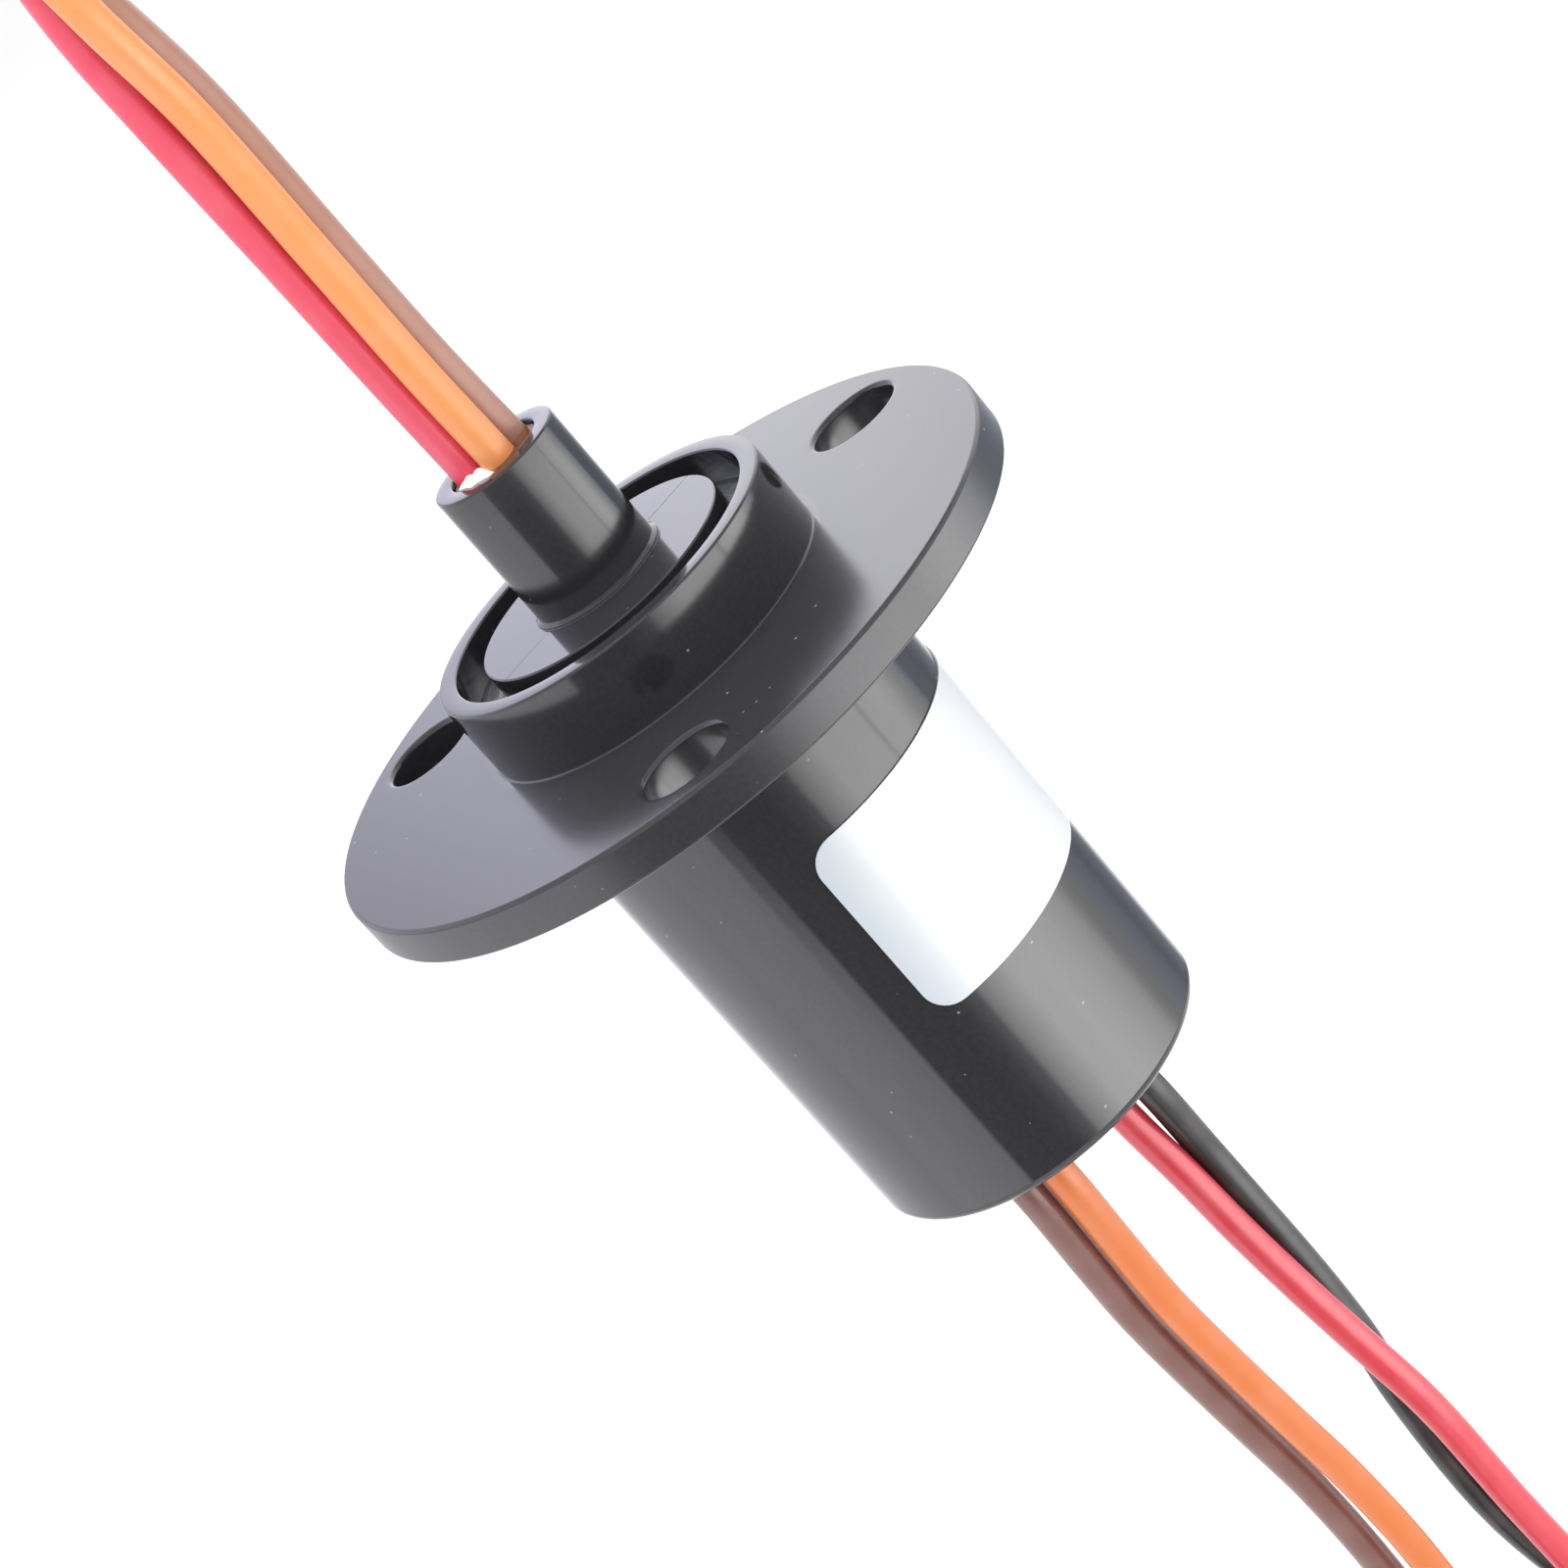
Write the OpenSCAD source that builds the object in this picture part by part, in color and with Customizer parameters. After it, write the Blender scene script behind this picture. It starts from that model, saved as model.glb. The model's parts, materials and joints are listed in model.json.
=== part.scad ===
// Capsule slip ring: four power circuits, flange fixed, rotor free to turn without limit.
// The frame has +Z along the spin axis, out of the rotor's lead exit.
// The origin is on that axis, at the flange's mounting face (the side towards the body).

/* [Flange] */
// Outer diameter of the flange
flange_d = 43.6; // [41:0.1:50]
// Thickness of the flange
flange_t = 2.4; // [2:0.1:4]
// Edge break on the flange's two rims
flange_edge = 0.2; // [0.1:0.05:0.6]
// Number of fixing holes
bolt_n = 3; // [2:1:6]
// Diameter of a fixing hole
bolt_d = 5.4; // [4:0.1:6]
// Flange left between a fixing hole and the rim
bolt_land = 1.5; // [1:0.1:2.5]
// Edge break round each fixing hole
bolt_edge = 0.22; // [0.1:0.02:0.4]
// Direction of the first fixing hole
bolt_angle = -99; // [-180:1:180]

/* [Collar] */
// Outer diameter of the collar in front of the flange
collar_d = 21.8; // [21.6:0.1:24]
// Height of the collar above the flange
collar_h = 4.85; // [4:0.05:8]
// Edge break on the collar's rim
collar_edge = 0.12; // [0.05:0.01:0.3]

/* [Body] */
// Outer diameter of the body tube
body_d = 22; // [21.8:0.1:25]
// Length of the body behind the flange
body_l = 32.8; // [31.5:0.1:40]
// Wall of the body tube
body_wall = 2; // [1.4:0.1:2.4]
// Rounding of the body's far rim
body_round = 0.7; // [0.3:0.1:1.2]
// Height of the lip that carries the front bearing
seat_lip_h = 1.4; // [1:0.1:2]
// Inner diameter of that lip
seat_lip_d = 15; // [14:0.1:16]

/* [Label] */
// Height of the label
label_h = 12.2; // [8:0.1:16]
// Distance from the flange's mounting face to the label
label_gap = 8.5; // [4:0.1:12]
// Thickness of the label
label_t = 0.12; // [0.08:0.01:0.2]
// Direction at which the label starts
label_start = -98.5; // [-180:0.5:180]
// Angle that the label wraps round
label_sweep = 210; // [60:5:320]
// Corner radius of the label
label_corner = 1.7; // [0.5:0.1:3]

/* [Rotor] */
// Outer diameter of the rotor's shaft
shaft_d = 7.8; // [7.4:0.1:9]
// Length of the shaft above the rotor's disc
shaft_l = 8.85; // [6:0.05:16]
// Bore of the shaft, which the leads come out of
shaft_bore = 5.55; // [5.5:0.05:6.4]
// Edge break at the shaft's end
shaft_edge = 0.1; // [0.05:0.01:0.3]
// Height of the bead at the shaft's foot
bead_h = 0.3; // [0.1:0.05:0.8]
// Width of that bead
bead_w = 0.25; // [0.1:0.05:0.6]
// Diameter of the rotor's disc
disc_d = 15.9; // [14:0.1:18]
// Thickness of the disc
disc_t = 1.8; // [1.2:0.1:1.85]
// Depth of the disc's face below the collar's rim
disc_drop = 0.2; // [0:0.05:1]
// Diameter of the core under the contact rings
core_d = 7.6; // [7.4:0.1:8.2]
// Diameter of the shoulder in front of the rear bearing
rear_shoulder_d = 5.3; // [5:0.1:5.6]
// Length of that shoulder
rear_shoulder_l = 1; // [0.6:0.1:2]

/* [Front bearing] */
// Outer diameter of the front bearing
front_od = 19; // [18:0.1:20]
// Bore of the front bearing
front_id = 10; // [9:0.1:10.4]
// Width of the front bearing
front_w = 5; // [4:0.1:5.4]
// Diameter of a ball in the front bearing
front_ball_d = 2.38; // [2:0.02:2.6]
// Number of balls in the front bearing
front_ball_n = 9; // [7:1:11]

/* [Rear bearing] */
// Outer diameter of the rear bearing
rear_od = 9; // [8.6:0.1:9.6]
// Bore of the rear bearing
rear_id = 4; // [3.6:0.1:4.2]
// Width of the rear bearing
rear_w = 2.5; // [2.3:0.1:3]
// Diameter of a ball in the rear bearing
rear_ball_d = 1.58; // [1.3:0.02:1.7]
// Number of balls in the rear bearing
rear_ball_n = 7; // [5:1:8]

/* [Ring stack] */
// Number of circuits
circuit_n = 4; // [4:1:4]
// Width of a contact ring
ring_w = 3.6; // [3:0.1:3.8]
// Outer diameter of a contact ring
ring_d = 9.8; // [9.4:0.1:10]
// Width of an insulator
insulator_w = 1.8; // [1.2:0.1:2]
// Outer diameter of an insulator
insulator_d = 11.2; // [10.6:0.1:11.6]
// Width of the nut that closes the stack
nut_w = 1.5; // [1:0.1:1.8]
// Distance across the nut's flats
nut_flats = 9.2; // [8.8:0.1:10]
// Diameter of a brush wire
brush_d = 0.3; // [0.2:0.02:0.4]
// Distance between the two brush tracks on a ring
track_gap = 1.8; // [1.2:0.1:2]
// Thickness of a brush board
board_t = 0.8; // [0.6:0.1:1]
// Gap between the insulators and a brush board
board_gap = 0.6; // [0.4:0.1:0.8]

/* [End cap] */
// Thickness of the end cap
cap_t = 3; // [2.4:0.1:3.4]
// Depth of the cap's face inside the body's far rim
cap_inset = 0.5; // [0.3:0.1:1]
// Step between the cap's seat and the body's bore
cap_step = 0.3; // [0.2:0.05:0.5]
// Wall of the boss round the rear bearing
boss_wall = 0.9; // [0.6:0.1:1]

/* [Leads] */
// Outer diameter of a lead
lead_d = 2.05; // [1.9:0.05:2.1]
// Diameter of the tinned end of a lead
tin_d = 0.7; // [0.5:0.05:0.7]
// Diameter of a lead's bared strands inside the rotor
strand_d = 1; // [0.6:0.05:1.1]
// Length of a tinned end along its brush board
tin_l = 4; // [2:0.5:8]
// Depth of the sealing plug in the shaft's mouth
plug_h = 3; // [1:0.1:4]

/* [Fits] */
// Gap on the radius of parts that are pressed or glued together
seat_gap = 0.01; // [0.005:0.005:0.03]
// Gap on the radius between a ball and its raceway
ball_gap = 0.04; // [0.02:0.01:0.06]
// Gap on the radius between a ball and its cage
cage_gap = 0.07; // [0.05:0.01:0.12]
// Gap between turning and fixed faces
run_gap = 0.3; // [0.2:0.05:0.4]
// Gap between a brush wire and its track
brush_gap = 0.02; // [0.01:0.01:0.04]
// Gap between a lead and the hole that it passes through
lead_gap = 0.05; // [0.02:0.01:0.08]
// Gap between the brush boards and the body's bore
board_side_gap = 0.2; // [0.1:0.05:0.3]

/* [Hidden] */

$fn = 96;
// Overshoot of a cut past the face that it opens
cut = 0.1;

// Circle through the fixing holes
bolt_pcd = flange_d - bolt_d - 2 * bolt_land;

// Heights of the collar, the rotor's disc and the shaft's end
collar_top = flange_t + collar_h;
disc_top = collar_top - disc_drop;
disc_low = disc_top - disc_t;
shaft_top = disc_top + shaft_l;

// Front bearing: its upper face lies a running gap below the disc
front_top = disc_low - run_gap;
front_low = front_top - front_w;
front_mid = front_top - front_w / 2;
front_pitch = (front_od + front_id) / 4;
front_hub_d = front_id + 2;
collar_bore = front_od + 0.4;
bore_d = body_d - 2 * body_wall;

// Ring stack: insulator, ring, insulator and so on, under the front bearing
function ring_top(i) = front_low - (i + 1) * insulator_w - i * ring_w;
function insulator_top(i) = front_low - i * (insulator_w + ring_w);
stack_low = front_low - circuit_n * (ring_w + insulator_w) - insulator_w;
core_low = stack_low - nut_w;

// Rear bearing: between the rotor's shoulder and the cap's seat
rear_top = core_low - rear_shoulder_l;
rear_low = rear_top - rear_w;
rear_mid = rear_top - rear_w / 2;
rear_pitch = (rear_od + rear_id) / 4;
clip_t = 0.4;
clip_w = 1;
clip_groove = 0.3;
clip_mouth = 2.4;
tail_low = rear_low - 2 * clip_t;

// Body and cap
body_low = -body_l;
cap_low = body_low + cap_inset;
cap_top = cap_low + cap_t;
cap_pocket_low = tail_low - run_gap;
boss_d = rear_od + 2 * boss_wall;
cap_d = bore_d + 2 * cap_step;
cap_pocket_d = (rear_od + rear_shoulder_d) / 2;

// Stator lead exits: two through each side of the cap, close inside the bore
board_angle = 63;
exit_gap = 0.18;
exit_r = bore_d / 2 - lead_d / 2 - run_gap;
exit_spread = asin((lead_d + exit_gap) / 2 / exit_r);
function exit_at(board, side) =
    let (a = board_angle + 180 * board + side * exit_spread) exit_r * [cos(a), sin(a)];
exit_l = 3.7;
function straight_out(at) = [[at.x, at.y, cap_low], [at.x, at.y, cap_low - exit_l]];

// Brush boards: chords of the bore, square to board_angle
board_in = insulator_d / 2 + board_gap;
board_out = board_in + board_t;
board_half = sqrt(pow(bore_d / 2 - board_side_gap, 2) - pow(board_out, 2));
board_top = front_low - seat_lip_h - board_side_gap;
board_low = core_low;
track_r = ring_d / 2 - brush_d;
brush_past = 1.6;

// Routes of the leads outside the body, each from its exit to the hank that stores the rest.
// A hank hangs with its runs upright, so a lead enters it from above.
brown_down = concat(straight_out(exit_at(1, -1)), [[-4.6, -5.7, -41], [-4.68, -4.8, -46],
    [-4.4, -3.9, -52], [-4, -3.1, -58], [-3.6, -2.3, -64], [-3.6, -1.5, -72], [-4.1, -1.05, -80],
    [-6, -1.05, -89]]);
orange_down = concat(straight_out(exit_at(1, 1)), [[-2.6, -6.7, -41], [-2.66, -6.1, -46],
    [-2.34, -5.5, -52], [-1.9, -5, -58], [-1.45, -4.5, -64], [-1.35, -3.9, -72], [-2.1, -3.3, -80],
    [-6, -3.15, -89]]);
red_down = concat(straight_out(exit_at(0, 1)), [[2.55, 6.7, -42], [2.95, 5.8, -47], [3.25, 4.8, -52],
    [3.72, 3.8, -57], [4.3, 2.9, -62], [5, 2, -68], [5.2, 1.3, -79], [6, 1.05, -89]]);
black_down = concat(straight_out(exit_at(0, -1)), [[4.8, 6.25, -42], [4.86, 6.5, -47],
    [4.92, 6.3, -52], [4.95, 5.9, -58], [4.75, 5.4, -63], [4.15, 4.7, -68], [4, 3.6, -79],
    [6, 3.15, -89]]);

// The rotor leads lie together in the shaft: direction of each from the axis, and its distance in diameters
lead_turn = [9, -84, 179, 95];
lead_out = [0.655, 0.745, 0.7, 0.825];
function seat(i, height = shaft_top) =
    [lead_d * lead_out[i] * cos(lead_turn[i]), lead_d * lead_out[i] * sin(lead_turn[i]), height];
brown_up = [seat(0), [1.04, 0.18, 22], [0.95, 0.1, 30], [0.84, 0.05, 40], [0.1, -0.7, 47],
    [-0.8, -1.05, 54], [1.4, -1.05, 62], [7.6, -1.05, 68], [15.8, -1.05, 68.9], [23.4, -1.05, 65.7],
    [28.3, -1.05, 59]];
orange_up = [seat(1), [-0.05, -1.52, 22], [-0.08, -1.6, 30], [-0.17, -1.75, 40], [-0.8, -2.9, 47],
    [-1, -3.15, 54], [1.2, -3.15, 62], [7.5, -3.15, 68], [15.8, -3.15, 68.9], [23.4, -3.15, 65.7],
    [28.3, -3.15, 59]];
red_up = [seat(2), [-1.6, 0.02, 22], [-1.75, 0, 30], [-1.97, 0.1, 40], [-2, 0.8, 47],
    [-1.2, 1.05, 54], [1, 1.05, 62], [7.4, 1.05, 68], [15.8, 1.05, 68.9], [23.4, 1.05, 65.7],
    [28.3, 1.05, 59]];
black_up = [seat(3), [-0.28, 1.8, 22], [-0.4, 1.85, 30], [-0.6, 2.1, 40], [-0.9, 2.95, 47],
    [-1, 3.15, 54], [1.2, 3.15, 62], [7.5, 3.15, 68], [15.8, 3.15, 68.9], [23.4, 3.15, 65.7],
    [28.3, 3.15, 59]];

// Hanks: width at the folds, how far the tie draws each side in, and thickness across the four leads
hank_w = 21.5;
hank_pinch = 3.8;
hank_t = 8.4;
stator_hank_at = [0, -112];
stator_hank_l = 48;
rotor_hank_at = [38.7, 43];
rotor_hank_l = 44;
tie_h = 3;
tie_t = 0.8;

// Colours
black_plastic = [0.09, 0.09, 0.1];
dark_plastic = [0.16, 0.16, 0.18];
steel = [0.75, 0.76, 0.78];
gold = [0.85, 0.66, 0.3];
board_green = [0.12, 0.3, 0.2];
brown_lead = [0.4, 0.22, 0.16];
orange_lead = [0.9, 0.42, 0.12];
red_lead = [0.78, 0.1, 0.16];
black_lead = [0.1, 0.1, 0.1];

// A rod from height low to height high, with both rims broken by edge
module rod(d, low, high, edge = 0) {
    translate([0, 0, low + edge]) cylinder(d = d, h = high - low - 2 * edge);
    if (edge > 0) {
        translate([0, 0, low]) cylinder(d1 = d - 2 * edge, d2 = d, h = edge);
        translate([0, 0, high - edge]) cylinder(d1 = d, d2 = d - 2 * edge, h = edge);
    }
}

// A plain ring between two heights
module ring(outer, inner, low, high) {
    rotate_extrude() translate([inner / 2, low]) square([(outer - inner) / 2, high - low]);
}

// Points of an arc, for profiles that are turned round the axis
function arc(x, y, r, from, to, n = 8) =
    [for (i = [0:n]) [x + r * cos(from + (to - from) * i / n), y + r * sin(from + (to - from) * i / n)]];

// Copies at equal angles round the axis
module around(n, start = 0) {
    for (i = [0:n - 1]) rotate(start + 360 * i / n) children();
}

// One moulding: round flange, collar in front of it and body tube behind it
module housing_profile() {
    r = body_d / 2;
    polygon(concat(
        [[seat_lip_d / 2, front_low], [front_od / 2 + seat_gap, front_low],
         [front_od / 2 + seat_gap, front_top], [collar_bore / 2, front_top],
         [collar_bore / 2, collar_top - collar_edge], [collar_bore / 2 + collar_edge, collar_top],
         [collar_d / 2 - collar_edge, collar_top], [collar_d / 2, collar_top - collar_edge],
         [collar_d / 2, flange_t], [flange_d / 2 - flange_edge, flange_t],
         [flange_d / 2, flange_t - flange_edge], [flange_d / 2, flange_edge],
         [flange_d / 2 - flange_edge, 0], [r, 0]],
        arc(r - body_round, body_low + body_round, body_round, 0, -90),
        [[cap_d / 2 + seat_gap, body_low], [cap_d / 2 + seat_gap, cap_top],
         [bore_d / 2, cap_top], [bore_d / 2, front_low - seat_lip_h],
         [seat_lip_d / 2, front_low - seat_lip_h]]
    ));
}

module bolt_hole() {
    translate([bolt_pcd / 2, 0, -cut]) cylinder(d = bolt_d, h = flange_t + 2 * cut);
    for (z = [0, flange_t]) {
        up = z > 0 ? 1 : -1;
        translate([bolt_pcd / 2, 0, z - (up > 0 ? bolt_edge : cut)])
            cylinder(d1 = bolt_d + (up > 0 ? 0 : 2 * (bolt_edge + cut)),
                d2 = bolt_d + (up > 0 ? 2 * (bolt_edge + cut) : 0), h = bolt_edge + cut);
    }
}

module housing() {
    color(black_plastic) difference() {
        rotate_extrude() housing_profile();
        around(bolt_n, bolt_angle) bolt_hole();
    }
}

// Closes the body, carries the rear bearing in its boss and lets the four stator leads out
module end_cap() {
    color(dark_plastic) difference() {
        union() {
            rod(cap_d, cap_low, cap_top);
            rod(boss_d, cap_top - cut, rear_top);
        }
        translate([0, 0, rear_low]) cylinder(d = rear_od + 2 * seat_gap, h = rear_w + cut);
        translate([0, 0, cap_pocket_low])
            cylinder(d = cap_pocket_d, h = rear_low - cap_pocket_low + cut);
        for (board = [0, 1], side = [-1, 1])
            translate(exit_at(board, side)) translate([0, 0, cap_low - cut])
                cylinder(d = lead_d + 2 * lead_gap, h = rear_top - cap_low + 2 * cut);
    }
}

// How far a corner's round runs past the label's edges, so that it crosses them
corner_over = 0.03;

// What is cut from a label's corner to leave it round; side and up say which corner it is
module label_corner_cut(side, up) {
    r = body_d / 2;
    size = label_corner + cut;
    difference() {
        translate([r - 1, side > 0 ? 0 : -size, up > 0 ? 0 : -size]) cube([2, size, size]);
        translate([r - 2, 0, 0]) rotate([0, 90, 0]) cylinder(r = label_corner + corner_over, h = 4);
    }
}

// Thin wrap with round corners, on the body tube
module label() {
    r = body_d / 2;
    corner_angle = label_corner / r * 180 / PI;
    color([0.82, 0.88, 0.95]) difference() {
        rotate(label_start) rotate_extrude(angle = label_sweep)
            translate([r, -label_gap - label_h]) square([label_t, label_h]);
        for (side = [-1, 1], up = [-1, 1])
            rotate(label_start + (side > 0 ? label_sweep - corner_angle : corner_angle))
                translate([0, 0, -label_gap - (up > 0 ? label_corner : label_h - label_corner)])
                    label_corner_cut(side, up);
    }
}

// A bearing ring between radius a and radius b, with a raceway for balls on the pitch radius
module race(a, b, pitch, ball, low, high) {
    rotate_extrude() difference() {
        translate([a, low]) square([b - a, high - low]);
        translate([pitch, (low + high) / 2]) circle(r = ball / 2 + ball_gap, $fn = 48);
    }
}

// Half the radial space between a bearing's two rings
function land(ball) = 0.34 * ball;
shield_t = 0.3;
shield_depth = 0.15;
shield_lip = 0.5;

module front_bearing_outer() {
    inner = front_pitch + land(front_ball_d);
    color(steel) difference() {
        race(inner, front_od / 2, front_pitch, front_ball_d, front_low, front_top);
        translate([0, 0, front_top - shield_depth - shield_t])
            cylinder(r = inner + shield_lip, h = shield_depth + shield_t + cut);
    }
}

module front_shield() {
    high = front_top - shield_depth;
    outer = 2 * (front_pitch + land(front_ball_d) + shield_lip - seat_gap);
    inner = 2 * (front_pitch - land(front_ball_d) + ball_gap + seat_gap);
    color(steel) ring(outer, inner, high - shield_t, high);
}

module front_bearing_inner() {
    land_r = front_pitch - land(front_ball_d);
    color(steel) race(front_id / 2, land_r, front_pitch, front_ball_d, front_low, front_top);
}

module rear_bearing_outer() {
    land_r = rear_pitch + land(rear_ball_d);
    color(steel) race(land_r, rear_od / 2, rear_pitch, rear_ball_d, rear_low, rear_top);
}

module rear_bearing_inner() {
    land_r = rear_pitch - land(rear_ball_d);
    color(steel) race(rear_id / 2, land_r, rear_pitch, rear_ball_d, rear_low, rear_top);
}

module balls(n, d, pitch, height) {
    color([0.85, 0.86, 0.88]) around(n) translate([pitch, 0, height]) sphere(d = d, $fn = 48);
}

// A band with one round pocket for each ball
module cage(n, d, pitch, height) {
    band = 0.45 * d;
    color([0.55, 0.4, 0.2]) difference() {
        ring(2 * pitch + band, 2 * pitch - band, height - 0.68 * d, height + 0.68 * d);
        around(n) translate([pitch - band, 0, height])
            rotate([0, 90, 0]) cylinder(d = d + 2 * cage_gap, h = 2 * band);
    }
}

module front_balls() {
    balls(front_ball_n, front_ball_d, front_pitch, front_mid);
}

module front_cage() {
    cage(front_ball_n, front_ball_d, front_pitch, front_mid);
}

module rear_balls() {
    balls(rear_ball_n, rear_ball_d, rear_pitch, rear_mid);
}

module rear_cage() {
    cage(rear_ball_n, rear_ball_d, rear_pitch, rear_mid);
}

// A brush board at one side of the stack
module brush_board() {
    translate([board_in, -board_half, board_low]) cube([board_t, 2 * board_half, board_top - board_low]);
}

module brush_board_near() {
    color(board_green) rotate(board_angle + 180) brush_board();
}

module brush_board_far() {
    color(board_green) rotate(board_angle) brush_board();
}

// Two wires from each board straddle the ring, each in its own track
module brushes(i) {
    middle = ring_top(i) - ring_w / 2;
    side = track_r + brush_d / 2 + brush_gap;
    color(gold) for (board = [0, 1], y = [-side, side])
        rotate(board_angle + 180 * board)
            translate([-brush_past, y, middle + (board - 0.5) * track_gap])
                rotate([0, 90, 0]) cylinder(d = brush_d, h = board_in + brush_past, $fn = 24);
}

module brushes_1() {
    brushes(0);
}

module brushes_2() {
    brushes(1);
}

module brushes_3() {
    brushes(2);
}

module brushes_4() {
    brushes(3);
}

// A contact ring has two round tracks for the brush wires
module contact_ring(i) {
    high = ring_top(i);
    track = brush_d / 2 + brush_gap;
    color(gold) rotate_extrude() difference() {
        translate([core_d / 2 + seat_gap, high - ring_w])
            square([(ring_d - core_d) / 2 - seat_gap, ring_w]);
        for (side = [-0.5, 0.5]) translate([track_r + track, high - ring_w / 2 + side * track_gap]) {
            circle(r = track, $fn = 24);
            translate([0, -track]) square([ring_d, 2 * track]);
        }
    }
}

module contact_ring_1() {
    contact_ring(0);
}

module contact_ring_2() {
    contact_ring(1);
}

module contact_ring_3() {
    contact_ring(2);
}

module contact_ring_4() {
    contact_ring(3);
}

module insulator(i) {
    high = insulator_top(i);
    color([0.9, 0.88, 0.8]) difference() {
        rod(insulator_d, high - insulator_w, high, 0.15);
        translate([0, 0, high - insulator_w - cut])
            cylinder(d = core_d + 2 * seat_gap, h = insulator_w + 2 * cut);
    }
}

module insulator_1() {
    insulator(0);
}

module insulator_2() {
    insulator(1);
}

module insulator_3() {
    insulator(2);
}

module insulator_4() {
    insulator(3);
}

module insulator_5() {
    insulator(4);
}

// Hexagonal nut that closes the stack on the rotor's core
module stack_nut() {
    color(steel) difference() {
        translate([0, 0, core_low]) cylinder(d = nut_flats / cos(30), h = nut_w, $fn = 6);
        translate([0, 0, core_low - cut]) cylinder(d = core_d + 2 * seat_gap, h = nut_w + 2 * cut);
    }
}

// Height at which each rotor lead meets its ring
function lead_foot(i) = ring_top(i) - ring_w / 2 - strand_d;

// One moulding: shaft, disc, journal, core and tail, with the lead bore inside
module rotor() {
    color(black_plastic) difference() {
        rotate_extrude() polygon([
            [0, shaft_top], [shaft_d / 2 - shaft_edge, shaft_top], [shaft_d / 2, shaft_top - shaft_edge],
            [shaft_d / 2, disc_top + bead_h], [shaft_d / 2 + bead_w, disc_top + bead_h / 2],
            [shaft_d / 2 + bead_w, disc_top], [disc_d / 2 - shaft_edge, disc_top],
            [disc_d / 2, disc_top - shaft_edge], [disc_d / 2, disc_low], [front_hub_d / 2, disc_low],
            [front_hub_d / 2, front_top], [front_id / 2 - seat_gap, front_top],
            [front_id / 2 - seat_gap, front_low], [core_d / 2, front_low], [core_d / 2, core_low],
            [rear_shoulder_d / 2, core_low], [rear_shoulder_d / 2, rear_top],
            [rear_id / 2 - seat_gap, rear_top], [rear_id / 2 - seat_gap, rear_low],
            [rear_id / 2 - clip_groove, rear_low], [rear_id / 2 - clip_groove, rear_low - clip_t],
            [rear_id / 2 - seat_gap, rear_low - clip_t], [rear_id / 2 - seat_gap, tail_low], [0, tail_low]
        ]);
        translate([0, 0, lead_foot(circuit_n - 1) - strand_d])
            cylinder(d = shaft_bore, h = shaft_l + disc_top + body_l);
        for (i = [0:circuit_n - 1])
            rotate(lead_turn[i]) translate([0, 0, lead_foot(i)])
                rotate([0, 90, 0]) cylinder(d = strand_d + 2 * lead_gap, h = core_d);
    }
}

// Open clip behind the rear bearing
module rear_clip() {
    inner = rear_id / 2 - clip_groove + seat_gap;
    color(steel) difference() {
        ring(2 * (inner + clip_w), 2 * inner, rear_low - clip_t, rear_low);
        translate([0, -clip_mouth / 2, rear_low - clip_t - cut])
            cube([rear_id, clip_mouth, clip_t + 2 * cut]);
    }
}

// Sealing compound in the shaft's mouth, round the four leads
module exit_plug() {
    color([0.93, 0.94, 0.95]) difference() {
        rod(shaft_bore - 2 * seat_gap, shaft_top - plug_h, shaft_top);
        for (i = [0:circuit_n - 1])
            translate(seat(i, shaft_top - plug_h - cut))
                cylinder(d = lead_d + 2 * seat_gap, h = plug_h + 2 * cut);
    }
}

// The rotor leads inside the shaft, each with its bared strands turned out to its ring
module rotor_lead_ends() {
    color(orange_lead) for (i = [0:circuit_n - 1]) {
        translate(seat(i, lead_foot(i) + strand_d))
            cylinder(d = lead_d, h = shaft_top - lead_foot(i) - strand_d);
        translate(seat(i, lead_foot(i))) cylinder(d = strand_d, h = strand_d);
        translate(seat(i, lead_foot(i))) rotate([0, 90, lead_turn[i]])
            cylinder(d = strand_d, h = core_d / 2 - lead_gap - lead_d * lead_out[i]);
    }
}

// The stator leads inside the body, each with a tinned end along its brush board
module stator_lead_ends() {
    stub = board_low - 1;
    tin_r = board_out + tin_d / 2 + lead_gap;
    color(orange_lead) for (board = [0, 1], side = [-1, 1]) {
        translate(exit_at(board, side)) rod(lead_d, cap_low, stub);
        rotate(board_angle + 180 * board) translate([tin_r, side * exit_r * sin(exit_spread), 0])
            rod(tin_d, stub, board_low + tin_l);
    }
}

// A lead swept along its route: rings of eight points, square to the path
function unit(v) = v / norm(v);
function heading(p, i) = unit(p[min(i + 1, len(p) - 1)] - p[max(i - 1, 0)]);
function ring_points(centre, way) =
    let (side = unit(cross([0, 1, 0], way)), other = cross(way, side))
    [for (k = [0:7]) centre + lead_d / 2 * (cos(45 * k) * side + sin(45 * k) * other)];

module lead_tube(route) {
    n = len(route);
    ends = concat([[0, 0, route[0].z > 0 ? 1 : -1]], [for (i = [1:n - 1]) heading(route, i)]);
    polyhedron(
        points = [for (i = [0:n - 1]) each ring_points(route[i], ends[i])],
        faces = concat(
            [[for (k = [7:-1:0]) k]],
            [for (i = [0:n - 2], k = [0:7])
                each [[8 * i + k, 8 * i + (k + 1) % 8, 8 * i + 8 + k],
                      [8 * i + (k + 1) % 8, 8 * i + 8 + (k + 1) % 8, 8 * i + 8 + k]]],
            [[for (k = [0:7]) 8 * (n - 1) + k]]
        )
    );
}

module stator_lead_brown() {
    color(brown_lead) lead_tube(brown_down);
}

module stator_lead_orange() {
    color(orange_lead) lead_tube(orange_down);
}

module stator_lead_red() {
    color(red_lead) lead_tube(red_down);
}

module stator_lead_black() {
    color(black_lead) lead_tube(black_down);
}

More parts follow.
